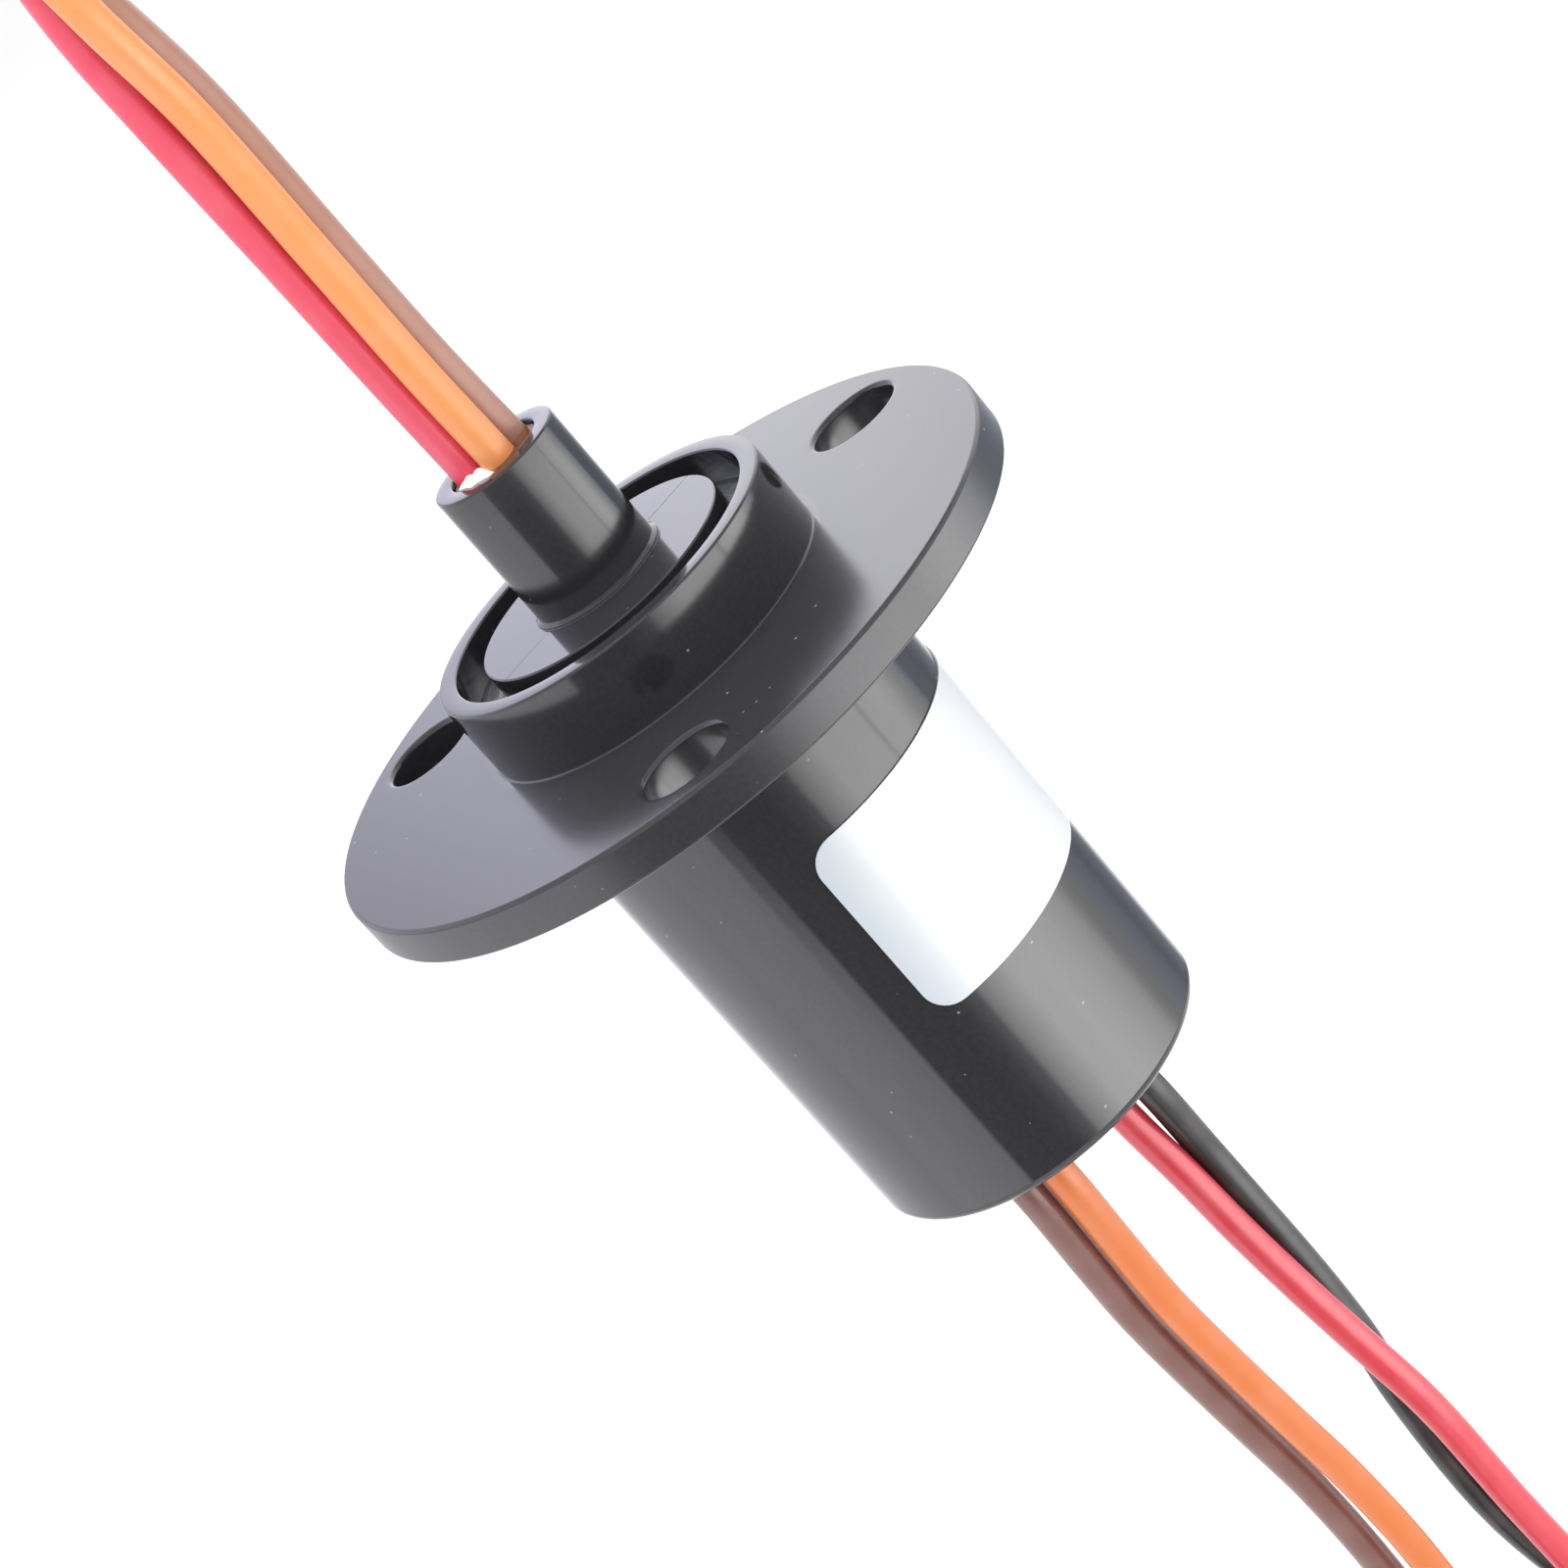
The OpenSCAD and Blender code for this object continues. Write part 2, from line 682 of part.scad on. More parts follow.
module rotor_lead_brown() {
    color(brown_lead) lead_tube(brown_up);
}

module rotor_lead_orange() {
    color(orange_lead) lead_tube(orange_up);
}

module rotor_lead_red() {
    color(red_lead) lead_tube(red_up);
}

module rotor_lead_black() {
    color(black_lead) lead_tube(black_up);
}

// Half the width of a hank at height v from its tie; fold is the height of a fold's centre
function hank_half(v, fold) =
    let (past = max(abs(v) - tie_h / 2, 0) / (fold - tie_h / 2))
    hank_w / 2 - hank_pinch / 2 * (1 + cos(180 * past));

// Outer shape of a folded and tied hank: round folds above and below a narrower waist
module hank(at, length) {
    fold = length / 2 - hank_w / 2;
    above = [for (share = [0.25:0.25:1]) fold - (fold - tie_h / 2) * share];
    heights = concat(above, [for (i = [len(above) - 1:-1:0]) -above[i]]);
    translate([at.x, hank_t / 2, at.y]) rotate([90, 0, 0]) linear_extrude(hank_t) polygon(concat(
        arc(0, fold, hank_w / 2, 0, 180, 16), [for (v = heights) [-hank_half(v, fold), v]],
        arc(0, -fold, hank_w / 2, 180, 360, 16), [for (v = heights) [hank_half(v, fold), -v]]
    ));
}

// Band round the waist of a hank
module tie(at) {
    inner = [hank_w - 2 * hank_pinch, hank_t];
    translate([at.x, 0, at.y - tie_h / 2]) linear_extrude(tie_h) difference() {
        square(inner + [2 * tie_t, 2 * tie_t], center = true);
        square(inner, center = true);
    }
}

module stator_hank() {
    color(red_lead) hank(stator_hank_at, stator_hank_l);
}

module stator_tie() {
    color(dark_plastic) tie(stator_hank_at);
}

module rotor_hank() {
    color(red_lead) hank(rotor_hank_at, rotor_hank_l);
}

module rotor_tie() {
    color(dark_plastic) tie(rotor_hank_at);
}

housing();
end_cap();
label();
front_bearing_outer();
front_shield();
rear_bearing_outer();
brush_board_near();
brush_board_far();
brushes_1();
brushes_2();
brushes_3();
brushes_4();
stator_lead_ends();
stator_lead_brown();
stator_lead_orange();
stator_lead_red();
stator_lead_black();
stator_hank();
stator_tie();
rotor();
exit_plug();
contact_ring_1();
contact_ring_2();
contact_ring_3();
contact_ring_4();
insulator_1();
insulator_2();
insulator_3();
insulator_4();
insulator_5();
stack_nut();
front_bearing_inner();
rear_bearing_inner();
rear_clip();
rotor_lead_ends();
rotor_lead_brown();
rotor_lead_orange();
rotor_lead_red();
rotor_lead_black();
rotor_hank();
rotor_tie();
front_cage();
front_balls();
rear_cage();
rear_balls();
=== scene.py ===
"""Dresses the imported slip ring: whole leads, finer mouldings, their finishes and a studio."""

import json
import math

import bmesh
import bpy
from mathutils import Matrix, Vector, noise


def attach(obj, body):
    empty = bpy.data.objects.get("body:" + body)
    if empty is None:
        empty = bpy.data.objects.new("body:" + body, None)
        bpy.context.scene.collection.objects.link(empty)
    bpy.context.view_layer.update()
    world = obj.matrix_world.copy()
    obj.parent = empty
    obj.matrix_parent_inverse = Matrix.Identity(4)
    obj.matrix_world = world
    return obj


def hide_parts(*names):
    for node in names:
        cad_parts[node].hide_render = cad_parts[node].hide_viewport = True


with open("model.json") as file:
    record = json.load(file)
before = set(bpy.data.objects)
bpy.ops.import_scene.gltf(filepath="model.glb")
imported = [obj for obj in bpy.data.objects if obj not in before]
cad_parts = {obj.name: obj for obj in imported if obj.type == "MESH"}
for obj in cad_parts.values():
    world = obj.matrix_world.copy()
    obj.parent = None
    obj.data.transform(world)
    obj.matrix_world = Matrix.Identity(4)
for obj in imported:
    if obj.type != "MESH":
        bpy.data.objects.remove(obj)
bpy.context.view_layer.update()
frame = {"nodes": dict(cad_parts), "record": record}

MM = 0.001  # named sizes are in millimetres and degrees, and a size times MM is in metres
SHAFT_TOP = 15.9

# ---------------------------------------------------------------- camera

LENS = 90.61
AIM = Vector((0.20, -3.87, -7.44)) * MM
DISTANCE = 212.58 * MM
ELEVATION = math.radians(21.45)
ROLL = math.radians(-41.075)

turn = Matrix.Rotation(math.pi / 2 - ELEVATION, 4, "X")
eye = AIM + turn.to_3x3() @ Vector((0, 0, DISTANCE))
camera = bpy.data.objects.new("camera", bpy.data.cameras.new("camera"))
camera.data.lens = LENS
camera.data.sensor_width = 36
camera.data.clip_start = 0.01
camera.matrix_world = Matrix.Translation(eye) @ turn @ Matrix.Rotation(ROLL, 4, "Z")
bpy.context.scene.collection.objects.link(camera)
bpy.context.scene.camera = camera
bpy.context.scene.view_settings.view_transform = "Standard"

# ---------------------------------------------------------------- paint


class Number:
    """A number that varies over a surface, so that sums and products of it can be written out."""

    def __init__(self, paint, socket):
        self.paint, self.socket = paint, socket

    def math(self, operation, *terms):
        return self.paint.node("Math", {"operation": operation}, dict(enumerate(terms)))

    def __add__(self, other):
        return self.math("ADD", self, other)

    def __radd__(self, other):
        return self.math("ADD", other, self)

    def __mul__(self, other):
        return self.math("MULTIPLY", self, other)

    def __rmul__(self, other):
        return self.math("MULTIPLY", other, self)

    def __lt__(self, other):
        return self.math("LESS_THAN", self, other)

    def root(self):
        return self.math("SQRT", self)

    def step(self, low, high):
        """0 below low, 1 above high and a smooth rise between them."""
        inputs = {"Value": self, "From Min": low, "From Max": high}
        return self.paint.node("MapRange", {"interpolation_type": "SMOOTHSTEP"}, inputs)


class Paint:
    """One finish: a material, its Principled shader and the nodes that feed it."""

    def __init__(self, name, **constants):
        self.material = bpy.data.materials.new(name)
        self.material.use_nodes = True
        self.tree = self.material.node_tree
        self.shader = self.tree.nodes["Principled BSDF"]
        self.feed(**constants)

    def node(self, kind, settings=None, inputs=None, output=0):
        """Adds a node, makes its settings, then fills its sockets with values or links."""
        made = self.tree.nodes.new("ShaderNode" + kind)
        for key, value in (settings or {}).items():
            if key == "stops":
                set_stops(made.color_ramp, value)
            else:
                setattr(made, key, value)
        for key, value in (inputs or {}).items():
            self.fill(made.inputs[key], value)
        return Number(self, made.outputs[output])

    def fill(self, socket, value):
        if isinstance(value, Number):
            self.tree.links.new(value.socket, socket)
        else:
            socket.default_value = value

    def feed(self, **sockets):
        """Gives the shader its inputs: links for what varies, values for the rest."""
        for key, value in sockets.items():
            self.fill(self.shader.inputs[key.replace("_", " ")], value)

    def place(self, scale=(1, 1, 1)):
        """Object coordinates, stretched by scale."""
        where = self.node("TexCoord", output="Object")
        return self.node("Mapping", {}, {"Vector": where, "Scale": scale})

    def axes(self, where):
        """The three coordinates of a place."""
        split = self.node("SeparateXYZ", {}, {"Vector": where})
        return [Number(self, socket) for socket in split.socket.node.outputs]

    def noise(self, scale, detail=3, where=None):
        """A soft random number from 0 to 1, with about scale lumps to a metre."""
        where = where or self.place()
        return self.node("TexNoise", {}, {"Vector": where, "Scale": scale, "Detail": detail})

    def mix(self, share, first, second):
        """A colour between two colours, which are the node's sockets 6 and 7."""
        inputs = {0: share, 6: first, 7: second}
        return self.node("Mix", {"data_type": "RGBA"}, inputs, output=2)

    def ramp(self, share, stops):
        """A colour along a scale of stops, each a place from 0 to 1 and its colour."""
        return self.node("ValToRGB", {"stops": stops}, {0: share})

    def bump(self, height, distance, strength=1):
        inputs = {"Strength": strength, "Distance": distance, "Height": height}
        return self.node("Bump", {}, inputs)


def set_stops(scale, stops):
    """Gives a colour scale its stops."""
    while len(scale.elements) < len(stops):
        scale.elements.new(1)
    for element, (where, colour) in zip(scale.elements, stops):
        element.position, element.color = where, colour


def rgb(*values):
    """An opaque colour, as a socket takes it."""
    return (*values, 1)


def specks(paint, scale, size, share):
    """Dust: a dot of that size in some of the cells."""
    inputs = {"Vector": paint.place(), "Scale": scale}
    cell = paint.node("TexVoronoi", {}, inputs)
    chosen = paint.node("TexVoronoi", {}, inputs, output="Color")
    pick = paint.node("SeparateColor", {}, {"Color": chosen})
    return (cell < size * scale) * (pick < share)


# Where the mouldings are duller: from one radius or height to another, and by how much.
DULL_BY_RADIUS = [(11.2, 11.6, 0.15), (21.5, 21.75, 0.05)]  # the flange's faces, then its rim
DULL_BY_HEIGHT = [(2.5, 2.9, 0.05), (7, 8, 0.03)]  # the collar and the disc, then the shaft
GRAIN_DARK, GRAIN_LIGHT = 0.94, 1.1
BLACK = (0.026, 0.0255, 0.029)
DUST = rgb(0.42, 0.42, 0.46)


def moulded_black(name, base, gloss):
    """Moulded plastic with a fine grain and dust, not equally glossy all over."""
    paint = Paint(name)
    x, y, z = paint.axes(paint.place())
    radius = (x * x + y * y).root()
    wave = paint.noise(260, 2)
    grain = paint.noise(3600, 2)
    dust = specks(paint, 1100, 0.08 * MM, 0.2) * paint.noise(70, 1).step(0.4, 0.6)
    roughness = gloss + wave * 0.03 + grain * 0.02 + dust * 0.2
    for along, spans in ((radius, DULL_BY_RADIUS), (z, DULL_BY_HEIGHT)):
        for low, high, amount in spans:
            roughness = roughness + along.step(low * MM, high * MM) * amount
    dark, light = (rgb(*(share * c for c in base)) for share in (GRAIN_DARK, GRAIN_LIGHT))
    paint.feed(
        Base_Color=paint.mix(dust * 0.6, paint.mix(grain.step(0.3, 0.7), dark, light), DUST),
        Roughness=roughness,
        Normal=paint.bump(wave * 0.6 + grain * 0.06, 0.01 * MM, 0.5),
    )
    return paint.material


black_housing = moulded_black("black_housing", BLACK, 0.02)
rotor_plastic = moulded_black("rotor_plastic", BLACK, 0.02)
cap_plastic = moulded_black("cap_plastic", (0.033, 0.032, 0.036), 0.28)


def film():
    """Glossy pale film, whiter where it goes round, with a painted bluish reflection towards its
    start.
    """
    paint = Paint("label_film")
    grain = paint.noise(900, 3)
    x, _, _ = paint.axes(paint.place())
    # the mask runs from the painted bluish reflection to the film's own white
    white = (x + grain * 0.6 * MM).step(-3 * MM, 4 * MM)
    paint.feed(
        Base_Color=paint.mix(white, rgb(0.54, 0.6, 0.66), rgb(0.86, 0.88, 0.9)),
        Roughness=0.12 + grain * 0.08,
        Normal=paint.bump(paint.noise(180, 2), 0.02 * MM, 0.3),
    )
    return paint.material


def compound(low, high):
    """White sealing compound, with painted shade below one height and plain white above another.
    """
    paint = Paint("sealing_white")
    lumps = paint.noise(1500, 3)
    _, _, z = paint.axes(paint.place())
    # below the lower height the compound is painted dark: painted shade down in the shaft's mouth
    clear_of_painted_shade = (z + lumps * 0.1 * MM).step(low * MM, high * MM)
    paint.feed(
        Base_Color=paint.mix(clear_of_painted_shade, rgb(0.17, 0.12, 0.11), rgb(0.93, 0.93, 0.94)),
        Roughness=0.35 + lumps * 0.2,
        Normal=paint.bump(lumps, 0.06 * MM, 0.5),
    )
    return paint.material


def grained(name, dark, light, gloss, scale, metal=0.0, stretch=(1, 1, 1)):
    """A finish with one grain: two shades, a spread of gloss and a fine relief."""
    paint = Paint(name, Metallic=metal)
    grain = paint.noise(scale, 4, paint.place(scale=stretch))
    paint.feed(
        Base_Color=paint.mix(grain.step(0.25, 0.75), rgb(*dark), rgb(*light)),
        Roughness=gloss + grain * 0.15,
        Normal=paint.bump(grain, 0.01 * MM, 0.4),
    )
    return paint.material


label_film = film()
# the compound carries painted shade below just under the shaft's top
sealing_white = compound(SHAFT_TOP - 0.16, SHAFT_TOP + 0.04)
tie_nylon = grained("tie_nylon", (0.016, 0.016, 0.017), (0.028, 0.028, 0.03), 0.32, 1400)
ground_steel = grained(
    "ground_steel", (0.42, 0.43, 0.45), (0.66, 0.67, 0.69), 0.22, 900, 1.0, (1, 1, 12))
brass = grained("brass", (0.5, 0.34, 0.14), (0.68, 0.5, 0.24), 0.3, 1200, 1.0)
gold = grained("gold", (0.72, 0.48, 0.16), (0.88, 0.66, 0.3), 0.18, 1500, 1.0, (1, 1, 10))
board_green = grained("board_green", (0.03, 0.1, 0.05), (0.07, 0.18, 0.09), 0.4, 2200)
cream = grained("cream", (0.66, 0.6, 0.46), (0.8, 0.76, 0.63), 0.45, 1300)
inner_insulation = grained(
    "inner_insulation", (0.3, 0.1, 0.04), (0.42, 0.17, 0.08), 0.35, 1100)

# ---------------------------------------------------------------- leads

LEAD_D = 2.05
LEAD_LENGTH = 250
CAP_FACE = -32.3
EXIT_R = 7.675  # how far from the axis the stator's leads leave the cap
EXIT_SPREAD = 8.354  # and by how much each stands to one side of its board
BOARD_ANGLE = 63
EXIT_L = 3.7
FOLD_OUTER = 9.7
FOLD_INNER = 7.6
PINCH = 3.8  # how far the tie draws in each side of a hank
TIE_H = 3


def straight_out(board, side):
    """The first stretch of a stator lead, square to the cap."""
    a = math.radians(BOARD_ANGLE + 180 * board + side * EXIT_SPREAD)
    x, y = EXIT_R * math.cos(a), EXIT_R * math.sin(a)
    return [(x, y, CAP_FACE), (x, y, CAP_FACE - EXIT_L)]


def seat(turn, out):
    """Where a rotor lead comes out of the shaft."""
    a = math.radians(turn)
    return [(LEAD_D * out * math.cos(a), LEAD_D * out * math.sin(a), SHAFT_TOP)]


# The way of each lead outside, up to its hank.
ROUTES = {
    "stator_lead_brown": straight_out(1, -1) + [
        (-4.6, -5.7, -41), (-4.68, -4.8, -46), (-4.4, -3.9, -52), (-4, -3.1, -58),
        (-3.6, -2.3, -64), (-3.6, -1.5, -72), (-4.1, -1.05, -80), (-6, -1.05, -89)],
    "stator_lead_orange": straight_out(1, 1) + [
        (-2.6, -6.7, -41), (-2.66, -6.1, -46), (-2.34, -5.5, -52), (-1.9, -5, -58),
        (-1.45, -4.5, -64), (-1.35, -3.9, -72), (-2.1, -3.3, -80), (-6, -3.15, -89)],
    "stator_lead_red": straight_out(0, 1) + [
        (2.55, 6.7, -42), (2.95, 5.8, -47), (3.25, 4.8, -52), (3.72, 3.8, -57),
        (4.3, 2.9, -62), (5, 2, -68), (5.2, 1.3, -79), (6, 1.05, -89)],
    "stator_lead_black": straight_out(0, -1) + [
        (4.8, 6.25, -42), (4.86, 6.5, -47), (4.92, 6.3, -52), (4.95, 5.9, -58),
        (4.75, 5.4, -63), (4.15, 4.7, -68), (4, 3.6, -79), (6, 3.15, -89)],
    "rotor_lead_brown": seat(9, 0.655) + [
        (1.04, 0.18, 22), (0.95, 0.1, 30), (0.84, 0.05, 40), (0.1, -0.7, 47),
        (-0.8, -1.05, 54), (1.4, -1.05, 62)],
    "rotor_lead_orange": seat(-84, 0.745) + [
        (-0.05, -1.52, 22), (-0.08, -1.6, 30), (-0.17, -1.75, 40), (-0.8, -2.9, 47),
        (-1, -3.15, 54), (1.2, -3.15, 62)],
    "rotor_lead_red": seat(179, 0.7) + [
        (-1.6, 0.02, 22), (-1.75, 0, 30), (-1.97, 0.1, 40), (-2, 0.8, 47),
        (-1.2, 1.05, 54), (1, 1.05, 62)],
    "rotor_lead_black": seat(95, 0.825) + [
        (-0.28, 1.8, 22), (-0.4, 1.85, 30), (-0.6, 2.1, 40), (-0.9, 2.95, 47),
        (-1, 3.15, 54), (1.2, 3.15, 62)],
}
LAYER = {"brown": -1.05, "orange": -3.15, "red": 1.05, "black": 3.15}
ARCH = [(7.5, 67.85), (15.8, 68.7), (23.4, 65.7), (28.3, 59)]
# A hank's tie stands at x and z, and its runs end at that height above and below the tie.
HANK = {"stator": (0, -112, 13.25), "rotor": (38.7, 43, 11.25)}
STATOR_ENTRY = [(8.2, -93.5), (9.5, -96.9)]
ROTOR_ENTRY = [(29, 56.5)]
RUN_STEPS = 12
FOLD_STEPS = 20


def run(start, end, radius, fold):
    """One straight run of a hank, drawn in at the tie; start and end are heights over the tie."""
    points = []
    for i in range(RUN_STEPS + 1):
        v = start + (end - start) * i / RUN_STEPS
        past = max(abs(v) - TIE_H / 2, 0) / (fold - TIE_H / 2)
        points.append((radius - PINCH / 2 * (1 + math.cos(math.pi * past)), v))
    return points


def fold_round(centre, radius, height, side, down):
    """Half a turn at the end of a run, from one side of the hank to the other."""
    points = []
    for i in range(1, FOLD_STEPS):
        a = math.pi * i / FOLD_STEPS
        points.append((centre + side * radius * math.cos(a), height - down * radius * math.sin(a)))
    return points


def hank_path(side, fold):
    """Offsets from the tie along a hank: an outer turn, then an inner one."""
    middle = (FOLD_OUTER - FOLD_INNER) / 2
    path = [(side * u, v) for u, v in run(fold, -fold, FOLD_OUTER, fold)]
    path += fold_round(0, FOLD_OUTER, -fold, side, 1)
    path += [(-side * u, v) for u, v in run(-fold, fold, FOLD_OUTER, fold)]
    path += fold_round(-side * middle, FOLD_OUTER - middle, fold, -side, -1)
    path += [(side * u, v) for u, v in run(fold, -fold, FOLD_INNER, fold)]
    path += fold_round(0, FOLD_INNER, -fold, side, 1)
    path += [(-side * u, v) for u, v in run(-fold, fold, FOLD_INNER, fold)]
    return path


def through(points, steps=6):
    """A smooth line through points, without overshoot between near ones."""
    ends = [points[0] * 2 - points[1]] + points + [points[-1] * 2 - points[-2]]
    line = [points[0]]
    for a, b, c, d in zip(ends, ends[1:], ends[2:], ends[3:]):
        t1 = (b - a).length ** 0.5
        t2 = t1 + (c - b).length ** 0.5
        t3 = t2 + (d - c).length ** 0.5
        for i in range(1, steps + 1):
            t = t1 + (t2 - t1) * i / steps
            p1 = a.lerp(b, t / t1)
            p2 = b.lerp(c, (t - t1) / (t2 - t1))
            p3 = c.lerp(d, (t - t2) / (t3 - t2))
            q1 = p1.lerp(p2, t / t2)
            q2 = p2.lerp(p3, (t - t1) / (t3 - t1))
            line.append(q1.lerp(q2, (t - t1) / (t2 - t1)))
    return line


def cut_to(line, length):
    """The first part of a line, of that length."""
    kept = [line[0]]
    left = length
    for point in line[1:]:
        gap = (point - kept[-1]).length
        if gap >= left:
            kept.append(kept[-1].lerp(point, left / gap))
            return kept
        kept.append(point)
        left -= gap
    raise ValueError("the hank is too short for the lead")


def lead_line(name):
    """Centreline of a whole lead in metres, from its exit to its bare end in the hank."""
    body, colour = name.split("_lead_")
    y = LAYER[colour]
    x0, z0, fold = HANK[body]
    side = 1 if name in ("stator_lead_red", "stator_lead_black") else -1
    outside = [Vector(p) for p in ROUTES[name]]
    if body == "stator":
        outside += [Vector((side * x, y, z)) for x, z in STATOR_ENTRY]
    else:
        outside += [Vector((x, y, z)) for x, z in ARCH + ROTOR_ENTRY]
    wound = [Vector((x0 + u, y, z0 + v)) for u, v in hank_path(side, fold)]
    line = through(outside + [wound[0]]) + wound[1:]
    return [p * MM for p in cut_to(line, LEAD_LENGTH)]


LEAD_BLOOM = rgb(0.9, 0.88, 0.88)


def lead_paint(name, stator_side, rotor_side_painted_light):
    """Soft insulation with a faint bloom and dust, a little paler on the rotor's side as painted
    light.
    """
    paint = Paint(name, Subsurface_Weight=0.08, Subsurface_Scale=0.6 * MM)
    _, _, z = paint.axes(paint.place())
    # the paler colour above the flange is painted light on the rotor's leads
    base = paint.mix(z.step(0, 20 * MM), rgb(*stator_side), rgb(*rotor_side_painted_light))
    mottle = paint.noise(420, 3)
    grain = paint.noise(3000, 2)
    dust = specks(paint, 500, 0.05 * MM, 0.08)
    pale = mottle.step(0.35, 0.75) * 0.03 + dust * 0.5
    paint.feed(
        Base_Color=paint.mix(pale, base, LEAD_BLOOM),
        Roughness=0.25 + mottle * 0.1 + dust * 0.2,
        Normal=paint.bump(mottle + grain * 0.2, 0.03 * MM, 0.4),
    )
    return paint.material


# Each colour on the stator's side, then the paler one on the rotor's side, which is painted light.
LEAD_PAINT = {
    "brown": lead_paint("lead_brown", (0.19, 0.078, 0.065), (0.42, 0.21, 0.15)),
    "orange": lead_paint("lead_orange", (0.68, 0.165, 0.024), (0.86, 0.31, 0.09)),
    "red": lead_paint("lead_red", (0.68, 0.045, 0.07), (0.78, 0.07, 0.13)),
    "black": lead_paint("lead_black", (0.018, 0.016, 0.018), (0.018, 0.016, 0.018)),
}


def tinned():
    """Tinned copper strands, brighter in some places."""
    paint = Paint("lead_inner", Metallic=1.0)
    grain = paint.noise(5200, 3)
    paint.feed(
        Base_Color=paint.mix(grain, rgb(0.62, 0.6, 0.56), rgb(0.8, 0.79, 0.77)),
        Roughness=0.25 + grain * 0.2,
        Normal=paint.bump(grain, 0.02 * MM, 0.5),
    )
    return paint.material


lead_inner = tinned()

TIP_LENGTH = 5
TIP_SUNK = 0.2
STRAND_R = 0.21
STRAND_OUT = 0.43
STRANDS_ROUND = 6
STRAND_TWIST = 220
STRAND_STEPS = 14
MERGE = 1e-8


def link(name, mesh, body, finish, slot, *replaced):
    """Puts a finished mesh or curve into the scene, on its body."""
    mesh.materials.append(finish)
    obj = bpy.data.objects.new(name, mesh)
    bpy.context.scene.collection.objects.link(obj)
    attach(obj, body)
    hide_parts(*replaced)
    return obj


def mesh_of(name, bm, crease=30):
    """A mesh from bm, smooth but for the edges sharper than crease degrees."""
    for face in bm.faces:
        face.smooth = True
    for edge in bm.edges:
        edge.smooth = edge.calc_face_angle(0) < math.radians(crease)
    mesh = bpy.data.meshes.new(name)
    bm.to_mesh(mesh)
    bm.free()
    return mesh


def strands(name, end, way):
    """The bared end of a lead: tinned strands twisted round one in the middle."""
    bm = bmesh.new()
    for k in range(STRANDS_ROUND + 1):
        a = math.tau * k / STRANDS_ROUND
        out = Vector((math.cos(a), math.sin(a), 0)) * (STRAND_OUT if k else 0)
        circle = bmesh.ops.create_circle(
            bm, cap_ends=True, radius=STRAND_R * MM, segments=8)["verts"]
        bmesh.ops.translate(bm, verts=circle, vec=out * MM)
        edges = dict.fromkeys(e for v in circle for e in v.link_edges)
        faces = dict.fromkeys(f for v in circle for f in v.link_faces)
        bmesh.ops.spin(bm, geom=[*circle, *edges, *faces], cent=(0, 0, 0), axis=(0, 0, 1),
                       angle=math.radians(STRAND_TWIST), steps=STRAND_STEPS,
                       dvec=(0, 0, TIP_LENGTH * MM / STRAND_STEPS), use_duplicate=False)
    bmesh.ops.remove_doubles(bm, verts=bm.verts, dist=MERGE)
    bmesh.ops.recalc_face_normals(bm, faces=bm.faces)
    place = Matrix.Translation(end) @ way.to_track_quat("Z", "Y").to_matrix().to_4x4()
    bmesh.ops.transform(bm, matrix=place, verts=bm.verts)
    return mesh_of(name, bm, 50)


def lead(name):
    """One lead at full length, a cord with its bared tip."""
    body, colour = name.split("_lead_")
    line = lead_line(name)
    curve = bpy.data.curves.new(name, "CURVE")
    curve.dimensions = "3D"
    curve.bevel_depth = LEAD_D / 2 * MM
    curve.bevel_resolution = 5
    curve.use_fill_caps = True
    spline = curve.splines.new("POLY")
    spline.points.add(len(line) - 1)
    for point, where in zip(spline.points, line):
        point.co = (*where, 1)
    spline.use_smooth = True
    obj = link(name + "_whole", curve, body, LEAD_PAINT[colour], "lead_" + colour, name)
    way = (line[-1] - line[-2]).normalized()
    mesh = strands(name + "_tip", line[-1] - way * TIP_SUNK * MM, way)
    tip = link(name + "_tip", mesh, body, lead_inner, "lead_inner")
    return obj


leads = {name: lead(name) for name in ROUTES}
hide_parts("stator_hank")
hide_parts("rotor_hank")

# ---------------------------------------------------------------- mouldings


def rounded(corners, steps=5):
    """A closed outline from (x, y, radius) corners, each rounded by its radius."""
    outline = []
    for i, (x, y, radius) in enumerate(corners):
        corner = Vector((x, y))
        if not radius:
            outline.append(corner)
            continue
        back = (Vector(corners[i - 1][:2]) - corner).normalized()
        ahead = (Vector(corners[(i + 1) % len(corners)][:2]) - corner).normalized()
        half = back.angle(ahead) / 2
        centre = corner + (back + ahead).normalized() * radius / math.sin(half)
        first = corner + back * radius / math.tan(half) - centre
        last = corner + ahead * radius / math.tan(half) - centre
        sweep = first.angle_signed(last)
        for k in range(steps + 1):
            a = -sweep * k / steps
            outline.append(centre + Matrix.Rotation(a, 2) @ first)
    return outline


def turned(outline, steps=192):
    """A bmesh spun round Z from an outline of radii and heights in millimetres."""
    bm = bmesh.new()
    ring = [bm.verts.new((r * MM, 0, z * MM)) for r, z in outline]
    pairs = zip(ring, ring[1:] + ring[:1])
    edges = [bm.edges.new(pair) for pair in pairs if pair[0].co.x > 0 or pair[1].co.x > 0]
    bmesh.ops.spin(bm, geom=ring + edges, cent=(0, 0, 0), axis=(0, 0, 1), angle=math.tau,
                   steps=steps, use_merge=True)
    bmesh.ops.remove_doubles(bm, verts=bm.verts, dist=MERGE)
    bmesh.ops.recalc_face_normals(bm, faces=bm.faces)
    return bm


CUT_MERGE = 1e-7
CUT_PAST = 0.4  # how far a cutter stands out past what it cuts


